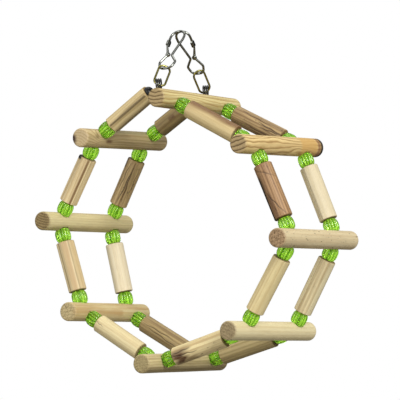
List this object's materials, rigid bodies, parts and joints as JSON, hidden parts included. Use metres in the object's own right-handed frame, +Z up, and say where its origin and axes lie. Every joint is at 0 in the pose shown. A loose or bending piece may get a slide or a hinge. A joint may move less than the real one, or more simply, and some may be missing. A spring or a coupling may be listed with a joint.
{
  "type": "hanging perch wheel bird toy",
  "caption": "Hanging ring of round wooden perches strung on wire hoops between wooden spacers and ribbed green beads, held by wire links and spring hooks.",
  "frame": {"origin": "top of the support that the two spring hooks hang over", "axes": "+Z up, +Y along the perches towards the rear hoop, +X to the right of the wheel as seen from its front hoop"},
  "size_m": [0.2671, 0.1506, 0.3246],
  "materials": {
    "wood": "bare sawn and turned wood",
    "lime_plastic": "glossy, slightly see-through lime green",
    "plated_steel": "bright plated wire",
    "brassy_steel": "bright wire with a slight brassy tint"
  },
  "bodies": {
    "hooks": {"front_hook": "plated_steel", "rear_hook": "plated_steel"},
    "front_hook_gate": {"front_gate": "plated_steel"},
    "rear_hook_gate": {"rear_gate": "plated_steel"},
    "front_swing_link": {"front_link": "brassy_steel"},
    "rear_swing_link": {"rear_link": "brassy_steel"},
    "wheel": {"top_perch": "wood", "upper_right_perch": "wood", "right_perch": "wood", "lower_right_perch": "wood", "bottom_perch": "wood", "lower_left_perch": "wood", "left_perch": "wood", "upper_left_perch": "wood", "front_hoop": "plated_steel", "rear_hoop": "plated_steel"},
    "front_top_run": {"front_top_to_upper_right_spacer": "wood", "front_top_to_upper_right_bead_1": "lime_plastic", "front_top_to_upper_right_bead_2": "lime_plastic"},
    "front_upper_right_run": {"front_upper_right_to_right_spacer": "wood", "front_upper_right_to_right_bead_1": "lime_plastic", "front_upper_right_to_right_bead_2": "lime_plastic"},
    "front_right_run": {"front_right_to_lower_right_spacer": "wood", "front_right_to_lower_right_bead_1": "lime_plastic", "front_right_to_lower_right_bead_2": "lime_plastic"},
    "front_lower_right_run": {"front_lower_right_to_bottom_spacer": "wood", "front_lower_right_to_bottom_bead_1": "lime_plastic", "front_lower_right_to_bottom_bead_2": "lime_plastic"},
    "front_bottom_run": {"front_bottom_to_lower_left_spacer": "wood", "front_bottom_to_lower_left_bead_1": "lime_plastic", "front_bottom_to_lower_left_bead_2": "lime_plastic"},
    "front_lower_left_run": {"front_lower_left_to_left_spacer": "wood", "front_lower_left_to_left_bead_1": "lime_plastic", "front_lower_left_to_left_bead_2": "lime_plastic"},
    "front_left_run": {"front_left_to_upper_left_spacer": "wood", "front_left_to_upper_left_bead_1": "lime_plastic", "front_left_to_upper_left_bead_2": "lime_plastic"},
    "front_upper_left_run": {"front_upper_left_to_top_spacer": "wood"},
    "rear_top_run": {"rear_top_to_upper_right_spacer": "wood", "rear_top_to_upper_right_bead_1": "lime_plastic", "rear_top_to_upper_right_bead_2": "lime_plastic"},
    "rear_upper_right_run": {"rear_upper_right_to_right_spacer": "wood", "rear_upper_right_to_right_bead_1": "lime_plastic", "rear_upper_right_to_right_bead_2": "lime_plastic"},
    "rear_right_run": {"rear_right_to_lower_right_spacer": "wood", "rear_right_to_lower_right_bead_1": "lime_plastic", "rear_right_to_lower_right_bead_2": "lime_plastic"},
    "rear_lower_right_run": {"rear_lower_right_to_bottom_spacer": "wood", "rear_lower_right_to_bottom_bead_1": "lime_plastic", "rear_lower_right_to_bottom_bead_2": "lime_plastic"},
    "rear_bottom_run": {"rear_bottom_to_lower_left_spacer": "wood", "rear_bottom_to_lower_left_bead_1": "lime_plastic", "rear_bottom_to_lower_left_bead_2": "lime_plastic"},
    "rear_lower_left_run": {"rear_lower_left_to_left_spacer": "wood", "rear_lower_left_to_left_bead_1": "lime_plastic", "rear_lower_left_to_left_bead_2": "lime_plastic"},
    "rear_left_run": {"rear_left_to_upper_left_spacer": "wood", "rear_left_to_upper_left_bead_1": "lime_plastic", "rear_left_to_upper_left_bead_2": "lime_plastic"},
    "rear_upper_left_run": {"rear_upper_left_to_top_spacer": "wood"}
  },
  "joints": [
    {"name": "front_gate_hinge", "type": "hinge", "parent": "hooks", "child": "front_hook_gate", "pos_m": [-0.0027, -0.02055, -0.02251], "axis": [0, 0.7757, -0.6311], "range_deg": [0, 20], "stiffness_Nm_per_rad": 0.05},
    {"name": "rear_gate_hinge", "type": "hinge", "parent": "hooks", "child": "rear_hook_gate", "pos_m": [0.0027, 0.02055, -0.02251], "axis": [0, -0.7757, -0.6311], "range_deg": [0, 20], "stiffness_Nm_per_rad": 0.05},
    {"name": "front_link_swing", "type": "hinge", "parent": "hooks", "child": "front_swing_link", "pos_m": [0, -0.0313, -0.0307], "axis": [0, 1, 0], "range_deg": [-10, 10]},
    {"name": "rear_link_swing", "type": "hinge", "parent": "hooks", "child": "rear_swing_link", "pos_m": [0, 0.0313, -0.0307], "axis": [0, 1, 0], "range_deg": [-10, 10]},
    {"name": "wheel_swing", "type": "hinge", "parent": "front_swing_link", "child": "wheel", "pos_m": [0, -0.045, -0.0473], "axis": [0, 1, 0], "range_deg": [-10, 10]},
    {"name": "front_top_spin", "type": "hinge", "parent": "wheel", "child": "front_top_run", "pos_m": [0.05581, -0.045, -0.0924], "axis": [0.8662, 0, -0.4996], "continuous": true},
    {"name": "front_upper_right_spin", "type": "hinge", "parent": "wheel", "child": "front_upper_right_run", "pos_m": [0.11541, -0.045, -0.16075], "axis": [0.3677, 0, -0.93], "continuous": true},
    {"name": "front_right_spin", "type": "hinge", "parent": "wheel", "child": "front_right_run", "pos_m": [0.10623, -0.045, -0.24554], "axis": [-0.546, 0, -0.8378], "continuous": true},
    {"name": "front_lower_right_spin", "type": "hinge", "parent": "wheel", "child": "front_lower_right_run", "pos_m": [0.03295, -0.045, -0.29952], "axis": [-0.9624, 0, -0.2718], "continuous": true},
    {"name": "front_bottom_spin", "type": "hinge", "parent": "wheel", "child": "front_bottom_run", "pos_m": [-0.05321, -0.045, -0.28695], "axis": [-0.8374, 0, 0.5466], "continuous": true},
    {"name": "front_lower_left_spin", "type": "hinge", "parent": "wheel", "child": "front_lower_left_run", "pos_m": [-0.10403, -0.045, -0.21757], "axis": [-0.252, 0, 0.9677], "continuous": true},
    {"name": "front_left_spin", "type": "hinge", "parent": "wheel", "child": "front_left_run", "pos_m": [-0.09273, -0.045, -0.13594], "axis": [0.5121, 0, 0.8589], "continuous": true},
    {"name": "front_upper_left_spin", "type": "hinge", "parent": "wheel", "child": "front_upper_left_run", "pos_m": [-0.03504, -0.045, -0.0756], "axis": [0.8432, 0, 0.5376], "continuous": true},
    {"name": "rear_top_spin", "type": "hinge", "parent": "wheel", "child": "rear_top_run", "pos_m": [0.05683, 0.045, -0.09138], "axis": [0.8801, 0, -0.4748], "continuous": true},
    {"name": "rear_upper_right_spin", "type": "hinge", "parent": "wheel", "child": "rear_upper_right_run", "pos_m": [0.11659, 0.045, -0.15957], "axis": [0.3458, 0, -0.9383], "continuous": true},
    {"name": "rear_right_spin", "type": "hinge", "parent": "wheel", "child": "rear_right_run", "pos_m": [0.10827, 0.045, -0.24617], "axis": [-0.5117, 0, -0.8592], "continuous": true},
    {"name": "rear_lower_right_spin", "type": "hinge", "parent": "wheel", "child": "rear_lower_right_run", "pos_m": [0.03507, 0.045, -0.30054], "axis": [-0.9675, 0, -0.2529], "continuous": true},
    {"name": "rear_bottom_spin", "type": "hinge", "parent": "wheel", "child": "rear_bottom_run", "pos_m": [-0.05509, 0.045, -0.28773], "axis": [-0.8543, 0, 0.5198], "continuous": true},
    {"name": "rear_lower_left_spin", "type": "hinge", "parent": "wheel", "child": "rear_lower_left_run", "pos_m": [-0.10528, 0.045, -0.21804], "axis": [-0.1859, 0, 0.9826], "continuous": true},
    {"name": "rear_left_spin", "type": "hinge", "parent": "wheel", "child": "rear_left_run", "pos_m": [-0.09194, 0.045, -0.13468], "axis": [0.4855, 0, 0.8742], "continuous": true},
    {"name": "rear_upper_left_spin", "type": "hinge", "parent": "wheel", "child": "rear_upper_left_run", "pos_m": [-0.03512, 0.045, -0.07442], "axis": [0.8565, 0, 0.5162], "continuous": true}
  ],
  "couplings": [
    {"joint": "rear_link_swing", "follows": "front_link_swing", "ratio": 1}
  ]
}
